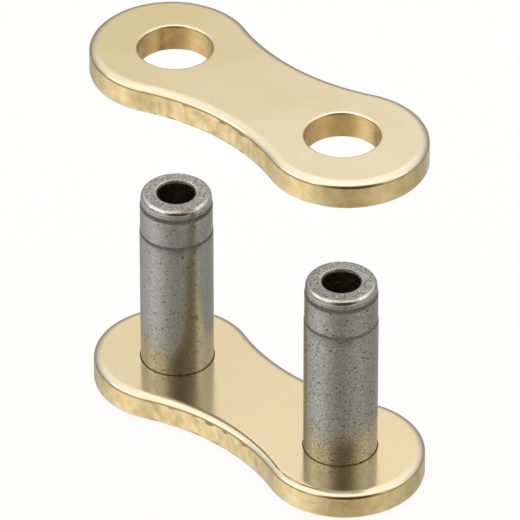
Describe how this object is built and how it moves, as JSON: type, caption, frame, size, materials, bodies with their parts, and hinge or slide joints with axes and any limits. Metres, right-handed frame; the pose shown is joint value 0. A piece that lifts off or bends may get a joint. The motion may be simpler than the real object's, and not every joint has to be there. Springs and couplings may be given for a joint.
{
  "type": "chain connecting link",
  "caption": "Rivet-type connecting link for a motorcycle roller chain: hollow-ended pins pressed in a link plate, with a matching cover plate lifted off them.",
  "frame": {"origin": "midway between the two pin axes, on the plane that the riveted tails stand on", "axes": "+X along the pitch from the left pin to the right pin, +Y across the plates, +Z along the pins from the pin plate to the cover plate"},
  "size_m": [0.0282, 0.0116, 0.0294],
  "materials": {
    "gold_plate": "steel blanked from strip and tumbled, with a pale gold-coloured plating, satin",
    "pin_steel": "hardened steel, ground and left plain, with fine dark pits"
  },
  "bodies": {
    "pin_side": {"pin_plate": "gold_plate", "pin_left": "pin_steel", "pin_right": "pin_steel"},
    "cover": {"cover_plate": "gold_plate"}
  },
  "joints": [
    {"name": "cover_plate_slide", "type": "slide", "parent": "pin_side", "child": "cover", "axis": [0, 0, -1], "range_m": [0, 0.01358]}
  ]
}
